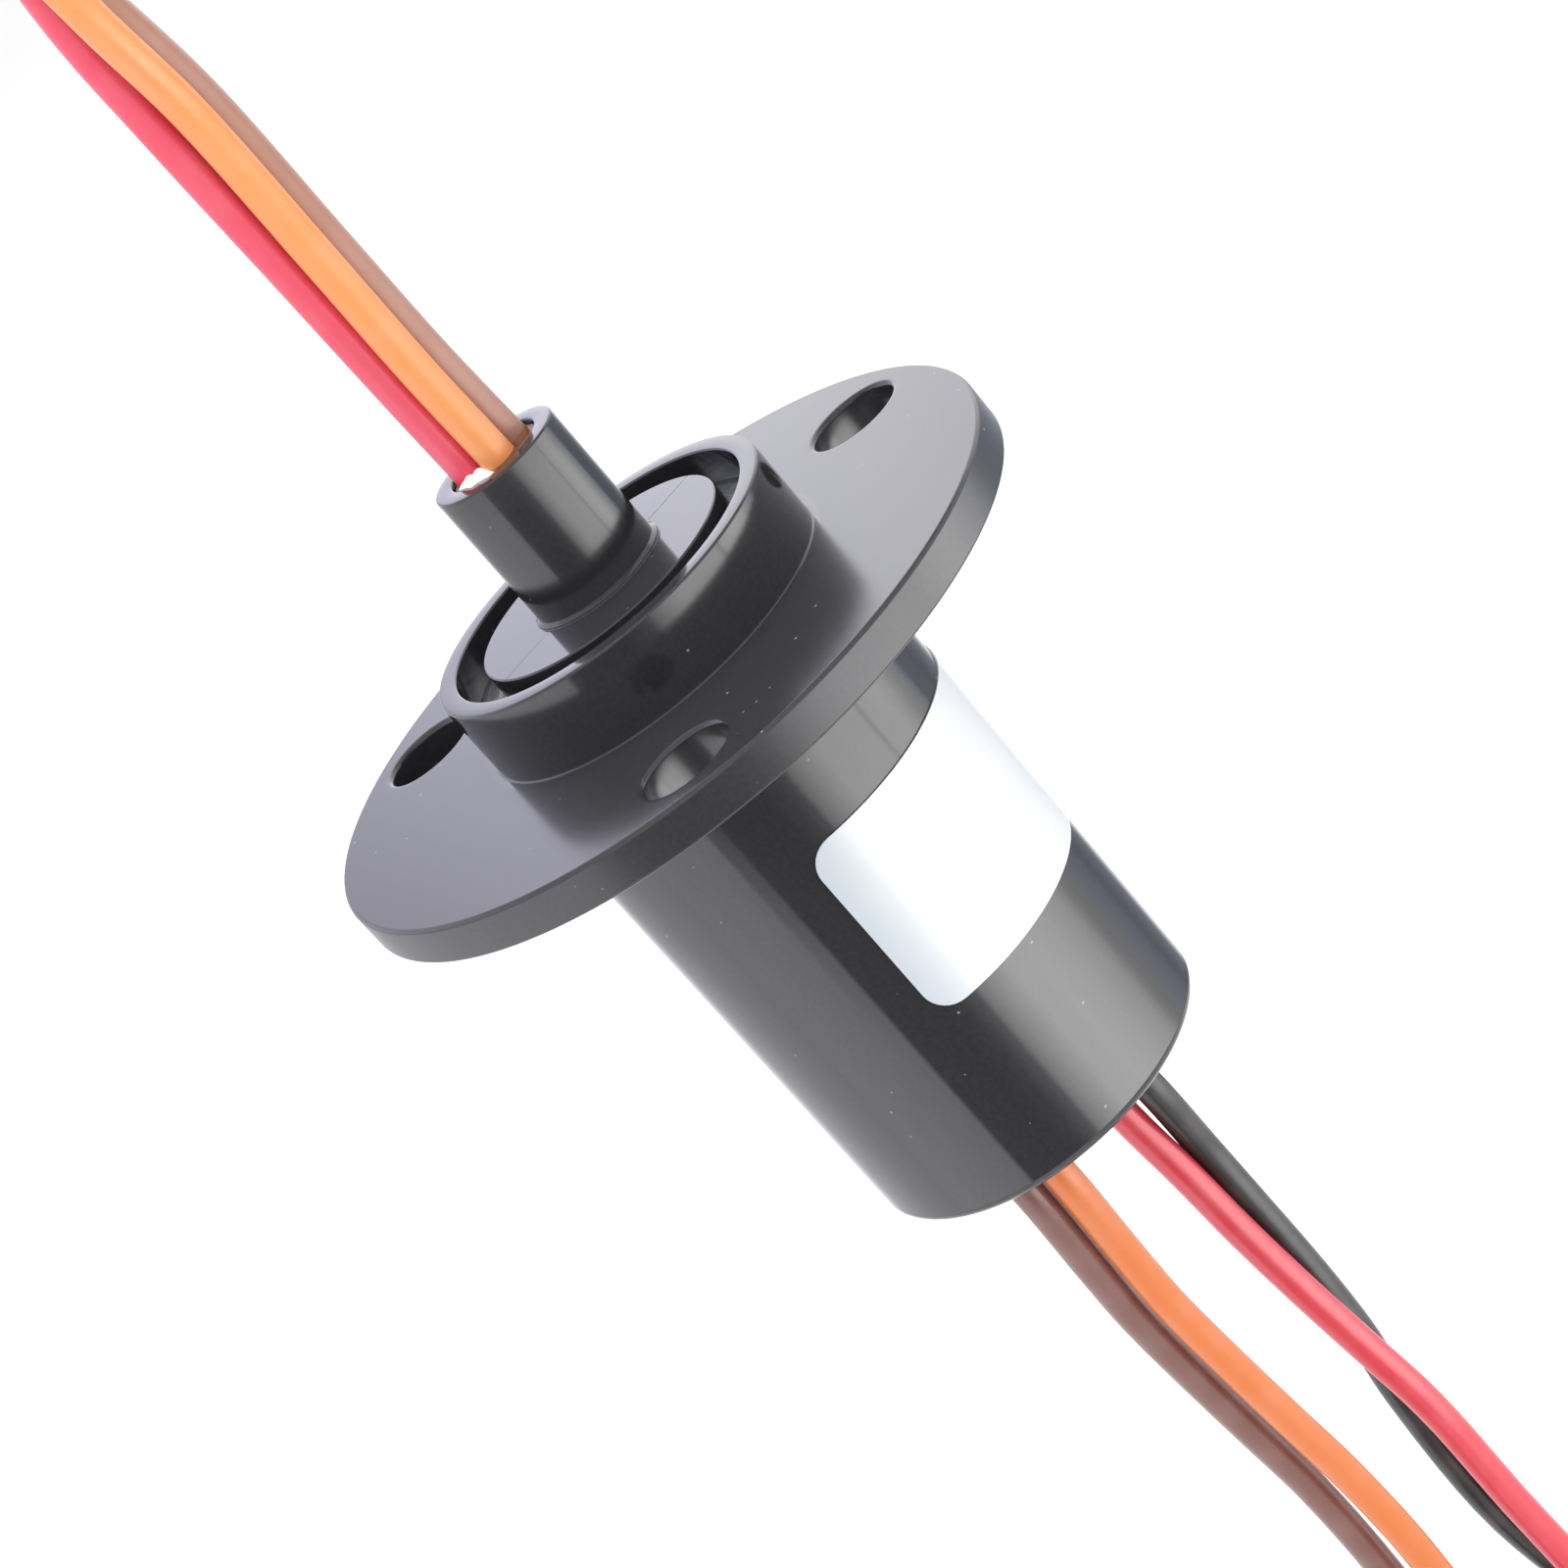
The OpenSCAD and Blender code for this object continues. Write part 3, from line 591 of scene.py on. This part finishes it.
def cut_away(mesh, cutters):
    """A bmesh of the mesh less the cutters, each a bmesh."""
    obj = bpy.data.objects.new("work", mesh)
    bpy.context.scene.collection.objects.link(obj)
    tools = []
    for bm in cutters:
        tool = bpy.data.objects.new("tool", mesh_of("tool", bm))
        bpy.context.scene.collection.objects.link(tool)
        cut = obj.modifiers.new("cut", "BOOLEAN")
        cut.operation, cut.solver, cut.object = "DIFFERENCE", "EXACT", tool
        tools.append(tool)
    bpy.context.view_layer.update()
    graph = bpy.context.evaluated_depsgraph_get()
    bm = bmesh.new()
    bm.from_mesh(obj.evaluated_get(graph).to_mesh())
    for extra in tools + [obj]:
        bpy.data.objects.remove(extra)
    bmesh.ops.remove_doubles(bm, verts=bm.verts, dist=CUT_MERGE)
    return bm


def link_even(*terms):
    """Links a mesh and keeps its large faces flat beside the small ones that ease its edges."""
    obj = link(*terms)
    shading = obj.modifiers.new("even shading", "WEIGHTED_NORMAL")
    shading.keep_sharp = True


FLANGE_R = 21.8
FLANGE_T = 2.4
COLLAR_R = 10.9
COLLAR_BORE_R = 9.7
COLLAR_TOP = 7.25
BODY_R = 11
BODY_LOW = -32.8
BORE_R = 9
CAP_SEAT_R = 9.31
CAP_TOP = -29.3
SEAT_R = 9.51
SEAT_TOP = 4.95
SEAT_LOW = -0.05
LIP_R = 7.5
LIP_LOW = -1.45
HOLE_PCD_R = 17.6
HOLE_R = 2.7
HOLE_EDGE = 0.3
HOLE_ANGLES = [-99, 21, 141]


def turned_out(angle, x, z=0):
    """A place at x and z in millimetres, turned round Z by an angle."""
    return Matrix.Rotation(math.radians(angle), 4, "Z") @ Matrix.Translation((x * MM, 0, z * MM))


def bolt_hole(angle):
    """What a fixing hole takes out of the flange, with its rims eased."""
    eased, wide, high = HOLE_R + HOLE_EDGE, HOLE_R + CUT_PAST, FLANGE_T + CUT_PAST
    bm = turned(rounded([
        (0, -CUT_PAST, 0), (wide, -CUT_PAST, 0), (wide, 0, 0), (eased, 0, 0),
        (HOLE_R, 0, HOLE_EDGE), (HOLE_R, FLANGE_T, HOLE_EDGE),
        (eased, FLANGE_T, 0), (wide, FLANGE_T, 0), (wide, high, 0), (0, high, 0),
    ]), 64)
    place = turned_out(angle, HOLE_PCD_R)
    bmesh.ops.transform(bm, matrix=place, verts=bm.verts)
    return bm


def housing():
    """The stator's moulding: collar, flange and body with the seats of both ends."""
    bm = turned(rounded([
        (LIP_R, SEAT_LOW, 0), (SEAT_R, SEAT_LOW, 0), (SEAT_R, SEAT_TOP, 0),
        (COLLAR_BORE_R, SEAT_TOP, 0), (COLLAR_BORE_R, COLLAR_TOP, 0.12),
        (COLLAR_R, COLLAR_TOP, 0.14), (COLLAR_R, FLANGE_T, 0.12),
        (FLANGE_R, FLANGE_T, 0.25), (FLANGE_R, 0, 0.2), (BODY_R, 0, 0.1),
        (BODY_R, BODY_LOW, 0.7), (CAP_SEAT_R, BODY_LOW, 0.1), (CAP_SEAT_R, CAP_TOP, 0),
        (BORE_R, CAP_TOP, 0), (BORE_R, LIP_LOW, 0), (LIP_R, LIP_LOW, 0),
    ]))
    bm = cut_away(mesh_of("housing_blank", bm), [bolt_hole(a) for a in HOLE_ANGLES])
    mesh = mesh_of("housing_moulding", bm)
    link_even("housing_moulding", mesh, "stator", black_housing, "black_housing", "housing")


housing()

SHAFT_R = 3.9
SHAFT_BORE_R = 2.775
DISC_R = 7.95
DISC_TOP = 7.05
DISC_LOW = 5.25
BEAD_H = 0.3
BEAD_W = 0.25
JOURNAL_R = 4.99
HUB_R = 6
CORE_R = 3.8
CORE_LOW = -24.95
SHOULDER_R = 2.65
TAIL_R = 1.99
GROOVE_R = 1.7
REAR_TOP = -25.95
REAR_LOW = -28.45
CLIP_T = 0.4
TAIL_LOW = -29.25
BORE_LOW = -21.85
STRAND_HOLE_R = 0.55
STRAND_HOLE_AT = 2.9
STRAND_HOLE_L = 3
STRAND_HOLES = [(-4.65, 9), (-10.05, -84), (-15.45, 179), (-20.85, 95)]  # height and angle
SEAM_ANGLE = 22.9
SEAM_SPAN = (4.1, 9)
SEAM_W = 0.07
SEAM_DEPTH = 0.05


def bar(low, high, angle=0):
    """A block between two corners in millimetres, then turned round Z."""
    bm = bmesh.new()
    size, middle = (Vector(high) - Vector(low)) * MM, (Vector(high) + Vector(low)) / 2 * MM
    place = Matrix.Rotation(math.radians(angle), 4, "Z") @ Matrix.Translation(middle)
    bmesh.ops.create_cube(bm, size=1, matrix=place @ Matrix.Diagonal((*size, 1)))
    return bm


def strand_hole(height, angle):
    """A hole through the core's wall for the bared strands of one lead."""
    bm = bmesh.new()
    across = turned_out(angle, STRAND_HOLE_AT, height) @ Matrix.Rotation(math.pi / 2, 4, "Y")
    bmesh.ops.create_cone(bm, cap_ends=True, segments=16, radius1=STRAND_HOLE_R * MM,
                          radius2=STRAND_HOLE_R * MM, depth=STRAND_HOLE_L * MM, matrix=across)
    return bm


def seam(way):
    """One half of the fine line across the disc, to one side of the shaft."""
    start, end = SEAM_SPAN
    low = (start * way, -SEAM_W / 2, DISC_TOP - SEAM_DEPTH)
    return bar(low, (end * way, SEAM_W / 2, DISC_TOP + 1), SEAM_ANGLE)


def rotor():
    """The turning moulding: shaft, disc, journal, core and tail."""
    bm = turned(rounded([
        (SHAFT_BORE_R, SHAFT_TOP, 0.12), (SHAFT_R, SHAFT_TOP, 0.12),
        (SHAFT_R, DISC_TOP + BEAD_H, 0), (SHAFT_R + BEAD_W, DISC_TOP + BEAD_H / 2, 0.06),
        (SHAFT_R + BEAD_W, DISC_TOP, 0.05), (DISC_R, DISC_TOP, 0.12), (DISC_R, DISC_LOW, 0.1),
        (HUB_R, DISC_LOW, 0), (HUB_R, SEAT_TOP, 0), (JOURNAL_R, SEAT_TOP, 0),
        (JOURNAL_R, SEAT_LOW, 0), (CORE_R, SEAT_LOW, 0), (CORE_R, CORE_LOW, 0),
        (SHOULDER_R, CORE_LOW, 0), (SHOULDER_R, REAR_TOP, 0), (TAIL_R, REAR_TOP, 0),
        (TAIL_R, REAR_LOW, 0), (GROOVE_R, REAR_LOW, 0), (GROOVE_R, REAR_LOW - CLIP_T, 0),
        (TAIL_R, REAR_LOW - CLIP_T, 0), (TAIL_R, TAIL_LOW, 0.1), (0, TAIL_LOW, 0),
        (0, BORE_LOW, 0), (SHAFT_BORE_R, BORE_LOW, 0),
    ]))
    cutters = [seam(1), seam(-1)] + [strand_hole(*hole) for hole in STRAND_HOLES]
    bm = cut_away(mesh_of("rotor_blank", bm), cutters)
    mesh = mesh_of("rotor_moulding", bm)
    link_even("rotor_moulding", mesh, "rotor", rotor_plastic, "black_housing", "rotor")


CAP_R = 9.3
CAP_POST_R = 5.4
REAR_SEAT_R = 4.51
REAR_LIP_R = 3.575
TAIL_ROOM_LOW = TAIL_LOW - 0.3
EXIT_HOLE_R = 1.25
EXIT_MOUTH_R = 1.4
EXIT_CUT_R = 1.7


def exit_hole(board, side):
    """What the hole for one stator lead takes out of the end cap, with its mouth eased."""
    x, y, z = straight_out(board, side)[0]
    low, high, eased = z - CUT_PAST, REAR_TOP + CUT_PAST, z + EXIT_MOUTH_R - EXIT_HOLE_R
    bm = turned(rounded([
        (0, low, 0), (EXIT_CUT_R, low, 0), (EXIT_CUT_R, z, 0), (EXIT_MOUTH_R, z, 0),
        (EXIT_HOLE_R, eased, 0), (EXIT_HOLE_R, high, 0), (0, high, 0),
    ]), 40)
    bmesh.ops.translate(bm, verts=bm.verts, vec=Vector((x, y, 0)) * MM)
    return bm


def end_cap():
    """The cap that closes the body, with the rear bearing's seat and the leads' holes."""
    bm = turned(rounded([
        (0, CAP_FACE, 0), (CAP_R, CAP_FACE, 0.2), (CAP_R, CAP_TOP, 0), (CAP_POST_R, CAP_TOP, 0),
        (CAP_POST_R, REAR_TOP, 0.1), (REAR_SEAT_R, REAR_TOP, 0.1), (REAR_SEAT_R, REAR_LOW, 0),
        (REAR_LIP_R, REAR_LOW, 0), (REAR_LIP_R, TAIL_ROOM_LOW, 0), (0, TAIL_ROOM_LOW, 0),
    ]), 128)
    holes = [exit_hole(board, side) for board in (0, 1) for side in (-1, 1)]
    bm = cut_away(mesh_of("cap_blank", bm), holes)
    mesh = mesh_of("end_cap_moulding", bm)
    link_even("end_cap_moulding", mesh, "stator", cap_plastic, "cap_plastic", "end_cap")


LABEL_TOP = -8.5
LABEL_LOW = -20.7
LABEL_START = -98.5
LABEL_SWEEP = 210
LABEL_T = 0.1
LABEL_GAP = 0.01
LABEL_CORNER = 1.7
LABEL_SLICES = 120


def label():
    """A flat film with round corners, bent round the body."""
    long = math.radians(LABEL_SWEEP) * BODY_R
    bm = bmesh.new()
    bmesh.ops.create_grid(bm, x_segments=1, y_segments=1, size=0.5)
    bmesh.ops.scale(bm, verts=bm.verts, vec=(long, LABEL_TOP - LABEL_LOW, 1))
    bmesh.ops.bevel(bm, geom=bm.verts[:], offset=LABEL_CORNER, segments=8, profile=0.5,
                    affect="VERTICES", material=-1, offset_type="OFFSET")
    for i in range(1, LABEL_SLICES):
        x = long * (i / LABEL_SLICES - 0.5)
        geom = bm.verts[:] + bm.edges[:] + bm.faces[:]
        bmesh.ops.bisect_plane(
            bm, geom=geom, plane_co=(x, 0, 0), plane_no=(1, 0, 0), dist=1e-4)
    bmesh.ops.solidify(bm, geom=bm.faces[:], thickness=LABEL_T)
    middle = (LABEL_TOP + LABEL_LOW) / 2
    low = min(v.co.z for v in bm.verts)
    for v in bm.verts:
        r = BODY_R + LABEL_GAP + v.co.z - low
        a = math.radians(LABEL_START) + (v.co.x + long / 2) / BODY_R
        v.co = Vector((r * math.cos(a), r * math.sin(a), middle + v.co.y)) * MM
    bmesh.ops.recalc_face_normals(bm, faces=bm.faces)
    mesh = mesh_of("label_film", bm, 40)
    link("label_film", mesh, "stator", label_film, "label_film", "label")


WAIST_WIDE = 13.9
WAIST_DEEP = 8.4
TIE_T = 0.8
TIE_CORNER = 1.9
TIE_RIM = 0.15
HEAD_IN = 3  # how far the tie's head stands in from the waist's side
HEAD_SIZE = (4.2, 2.6, 4.4)
HEAD_OUT = 1.7
TAIL_SIZE = (0.9, 2.2, 2.4)
TAIL_OUT = 3.3


def ease(bm, edges, offset, steps):
    """Rounds edges off, in that many steps."""
    bmesh.ops.bevel(bm, geom=[*edges], offset=offset, segments=steps, profile=0.5,
                    affect="EDGES", material=-1)


def eased_block(bm, size, out, offset, steps):
    """Adds a block with eased edges, that far out from the flat side of the tie."""
    middle = Matrix.Translation((WAIST_WIDE / 2 - HEAD_IN, -WAIST_DEEP / 2 - out, 0))
    block = bmesh.ops.create_cube(bm, size=1, matrix=middle @ Matrix.Diagonal((*size, 1)))
    ease(bm, dict.fromkeys(e for v in block["verts"] for e in v.link_edges), offset, steps)


def tie(body):
    """A nylon tie drawn round a hank's waist, with its locking head and a short tail."""
    name = body + "_hank_tie"
    outside = Matrix.Diagonal((WAIST_WIDE + 2 * TIE_T, WAIST_DEEP + 2 * TIE_T, TIE_H, 1))
    bm = bmesh.new()
    bmesh.ops.create_cube(bm, size=1, matrix=outside)
    caps = [f for f in bm.faces if abs(f.normal.z) > 0.9]
    bmesh.ops.delete(bm, geom=caps, context="FACES_ONLY")
    upright = [e for e in bm.edges if abs((e.verts[0].co - e.verts[1].co).z) > 1]
    ease(bm, upright, TIE_CORNER, 8)
    bmesh.ops.recalc_face_normals(bm, faces=bm.faces)
    bmesh.ops.solidify(bm, geom=bm.faces[:], thickness=TIE_T)
    rims = [e for e in bm.edges if len(e.link_faces) == 2 and e.calc_face_angle(0) > 1]
    ease(bm, rims, TIE_RIM, 2)
    eased_block(bm, HEAD_SIZE, HEAD_OUT, 0.45, 3)
    eased_block(bm, TAIL_SIZE, TAIL_OUT, 0.2, 2)
    bmesh.ops.recalc_face_normals(bm, faces=bm.faces)
    x, z, _ = HANK[body]
    place = Matrix.Translation(Vector((x, 0, z)) * MM) @ Matrix.Scale(MM, 4)
    bmesh.ops.transform(bm, matrix=place, verts=bm.verts)
    link_even(name, mesh_of(name, bm), body, tie_nylon, "tie_black", body + "_tie")


SEAL_R = 2.72
SEAL_LOW = SHAFT_TOP - 3
SEAL_TOP = SHAFT_TOP - 0.1
SEAL_RINGS = 34
RING_GAP = 0.08
SEAL_SUNK = 0.22
GLUE = [Vector((-1.9, -1.15)), Vector((-1.2, -1.7))]  # the middles of two lumps
GLUE_HIGH = 0.68
GLUE_WIDE = 0.8
UNEVEN = 0.12


def seal():
    """White compound in the shaft's mouth, drawn up between two leads and sunk elsewhere."""
    top = [(SEAL_R - RING_GAP * i, SEAL_TOP) for i in range(SEAL_RINGS)]
    outline = [(0, SEAL_LOW), (SEAL_R, SEAL_LOW)] + top + [(0, SEAL_TOP)]
    bm = turned([Vector(p) for p in outline], 96)
    for v in bm.verts:
        if v.co.z > (SEAL_TOP - 0.5) * MM:
            flat = v.co.xy / MM
            near = max(math.exp(-((flat - lump).length / GLUE_WIDE) ** 2) for lump in GLUE)
            lumps = noise.noise(v.co / MM * 1.5) * UNEVEN
            v.co.z += (near * (GLUE_HIGH + lumps * 2) - SEAL_SUNK + lumps * 0.5) * MM
    mesh = mesh_of("seal_compound", bm, 60)
    link("seal_compound", mesh, "rotor", sealing_white, "sealing_white", "exit_plug")


rotor()
end_cap()
label()
tie("stator")
tie("rotor")
seal()

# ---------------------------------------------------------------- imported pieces

SLOT_PAINT = {
    "bearing_steel": ground_steel, "cage_brass": brass, "contact_gold": gold,
    "board_green": board_green, "insulator_cream": cream, "lead_inner": inner_insulation,
}
for part in frame["record"]["subparts"]:
    node = frame["nodes"][part["node"]]
    if not node.hide_render:
        node.data.materials.clear()
        node.data.materials.append(SLOT_PAINT[part["material_slot"]])

# ---------------------------------------------------------------- studio

FLOOR_Z = -137
FLOOR_HALF = 6000
BLEND_LOW, BLEND_HIGH = -112, -52


def staged(name, bm, finish):
    """Puts a piece of the studio into the scene."""
    mesh = bpy.data.meshes.new(name)
    bm.to_mesh(mesh)
    bm.free()
    mesh.materials.append(finish)
    obj = bpy.data.objects.new(name, mesh)
    bpy.context.scene.collection.objects.link(obj)
    return obj


def floor():
    """A wide pale floor just under the lowest hank."""
    bm = bmesh.new()
    bmesh.ops.create_grid(bm, x_segments=1, y_segments=1, size=FLOOR_HALF * MM)
    bmesh.ops.translate(bm, verts=bm.verts, vec=(0, 0, FLOOR_Z * MM))
    staged("floor", bm, Paint("floor", Roughness=0.9, Base_Color=rgb(0.92, 0.92, 0.92)).material)


def lamp(name, where, size, power):
    """A soft light over the object, aimed at the origin, that shows in no gloss."""
    data = bpy.data.lights.new(name, "AREA")
    data.shape = "SQUARE"
    data.size = size
    data.energy = power
    obj = bpy.data.objects.new(name, data)
    aim = Vector(where).to_track_quat("Z", "Y").to_matrix().to_4x4()
    obj.matrix_world = Matrix.Translation(where) @ aim
    obj.visible_glossy = obj.visible_camera = False
    bpy.context.scene.collection.objects.link(obj)


def reflector(name, radius, heights, full, low_shades, high_shades):
    """A round screen that only the gloss of the object sees.

    Each list of shades holds an angle round the axis, a brightness and a tint: 0 is the camera's
    side and 90 is +X. The screen has the low shades below BLEND_LOW and the high ones above
    BLEND_HIGH. full is the brightness that white stands for.
    """
    bm = bmesh.new()
    ends = [bm.verts.new((radius * MM, 0, z * MM)) for z in heights]
    bmesh.ops.spin(bm, geom=ends + [bm.edges.new(ends)], cent=(0, 0, 0), axis=(0, 0, 1),
                   angle=math.tau, steps=96, use_merge=True)
    paint = Paint(name, Roughness=1.0, Base_Color=rgb(0, 0, 0), Emission_Strength=full)
    where = paint.place()
    round_axis = paint.node("TexGradient", {"gradient_type": "RADIAL"}, {"Vector": where})
    _, _, z = paint.axes(where)
    scales = []
    for shades in (low_shades, high_shades):
        stops = [((angle + 90) / 360, rgb(*(value / full * c for c in tint)))
                 for angle, value, tint in shades]
        scales.append(paint.ramp(round_axis, stops))
    paint.feed(Emission_Color=paint.mix(z.step(BLEND_LOW * MM, BLEND_HIGH * MM), *scales))
    obj = staged(name, bm, paint.material)
    obj.visible_camera = obj.visible_diffuse = False
    obj.visible_shadow = obj.visible_transmission = False


floor()
world = bpy.data.worlds.new("studio")
world.use_nodes = True
background = world.node_tree.nodes["Background"]
background.inputs["Color"].default_value = rgb(1, 1, 1)
background.inputs["Strength"].default_value = 1.0
bpy.context.scene.world = world

lamp("top_light", (0.1, -0.1, 0.9), 0.7, 9)

# Brightness by angle of what the body mirrors, what the shaft mirrors, and what stands over
# the flange.
BY_THE_BODY = [
    (-90, 2.1), (-80, 2.4), (-64, 2.45), (-46, 2.25), (-42, 2.1), (-39.5, 0.25), (-16, 0.15),
    (-4, 0.35), (2, 0.9), (6, 1.4), (9, 3.5), (16, 5.2), (30, 7.9), (48, 7.9), (64, 6.6),
    (80, 4.6), (86, 3.6), (92, 2.2), (97, 1.7), (112, 1.0), (128, 0.4), (148, 0.4), (160, 1.3),
    (180, 1.5), (200, 1.55), (216, 1.2), (232, 1.45), (248, 1.65), (264, 1.9), (270, 2.0),
]
BY_THE_SHAFT = [
    (-90, 2.1), (-64, 2.45), (-51, 2.3), (-48.5, 0.5), (-42, 0.3), (-30, 0.2), (-12, 0.2),
    (0, 0.5), (5.5, 0.9), (8, 2.2), (16, 3.7), (28, 5.6), (48, 5.8), (60, 5.9), (62.5, 3.4),
    (65, 6.2), (80, 6.4), (90, 5.0), (96, 3.6), (105, 2.2), (110, 0.7), (128, 0.45),
    (148, 0.5), (160, 1.0), (180, 1.0), (200, 1.1), (216, 0.85), (232, 1.15), (248, 1.5),
    (264, 2.0), (270, 2.05),
]
OVER_THE_FLANGE = [
    (-90, 1.7), (-78, 1.4), (-60, 1.3), (60, 1.3), (80, 1.5), (150, 2.0), (168, 2.3),
    (174, 2.55), (180, 2.15), (186, 1.72), (190, 1.25), (198, 1.1), (230, 1.6), (270, 1.7),
]
# Tints by angle: each holds from its angle up to the next one's.
LOW_TINTS = [(-90, (1, 1, 1.05)), (1, (1, 1, 1)), (101, (0.92, 1, 1.22)), (155, (1, 1, 1.05))]
HIGH_TINTS = [(-90, (1, 1, 1.07)), (178, (1, 0.99, 1.19))]


def with_tints(shades, tints):
    """Shades, each with the tint that holds at its angle."""
    return [(a, v, [tint for start, tint in tints if start <= a][-1]) for a, v in shades]


low_shades = [with_tints(shades, LOW_TINTS) for shades in (BY_THE_BODY, BY_THE_SHAFT)]
high_shades = with_tints(OVER_THE_FLANGE, HIGH_TINTS)
reflector("low_reflector", 185, (-136, -31), 8, *low_shades)
reflector("high_reflector", 300, (20, 260), 4, high_shades, high_shades)
